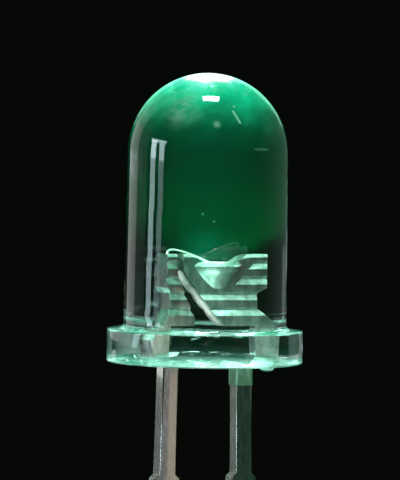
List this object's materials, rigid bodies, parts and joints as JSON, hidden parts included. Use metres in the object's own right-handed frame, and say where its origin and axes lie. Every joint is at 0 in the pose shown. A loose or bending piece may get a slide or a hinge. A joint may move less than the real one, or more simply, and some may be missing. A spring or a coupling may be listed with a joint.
{
  "type": "through-hole led",
  "caption": "Round green LED with a clear domed lens, a flange with a cathode flat, and two straight leads for through-hole soldering.",
  "frame": {"origin": "centre of the flange's underside, where the part seats on a board", "axes": "+Z along the optical axis towards the dome, +X towards the cathode lead and the flat on the flange"},
  "size_m": [0.0056, 0.0058, 0.0356],
  "materials": {
    "clear_epoxy": "water-clear cast epoxy, glossy",
    "plated_steel": "tin-plated, slightly uneven",
    "green_chip": "polished crystal, lit green",
    "gold": "bright gold",
    "silver_paste": "dull silver-filled adhesive"
  },
  "bodies": {
    "root": {"epoxy_body": "clear_epoxy", "cathode_lead": "plated_steel", "anode_lead": "plated_steel", "led_die": "green_chip", "die_electrode": "gold", "die_attach": "silver_paste", "bond_wire": "gold"}
  },
  "joints": []
}
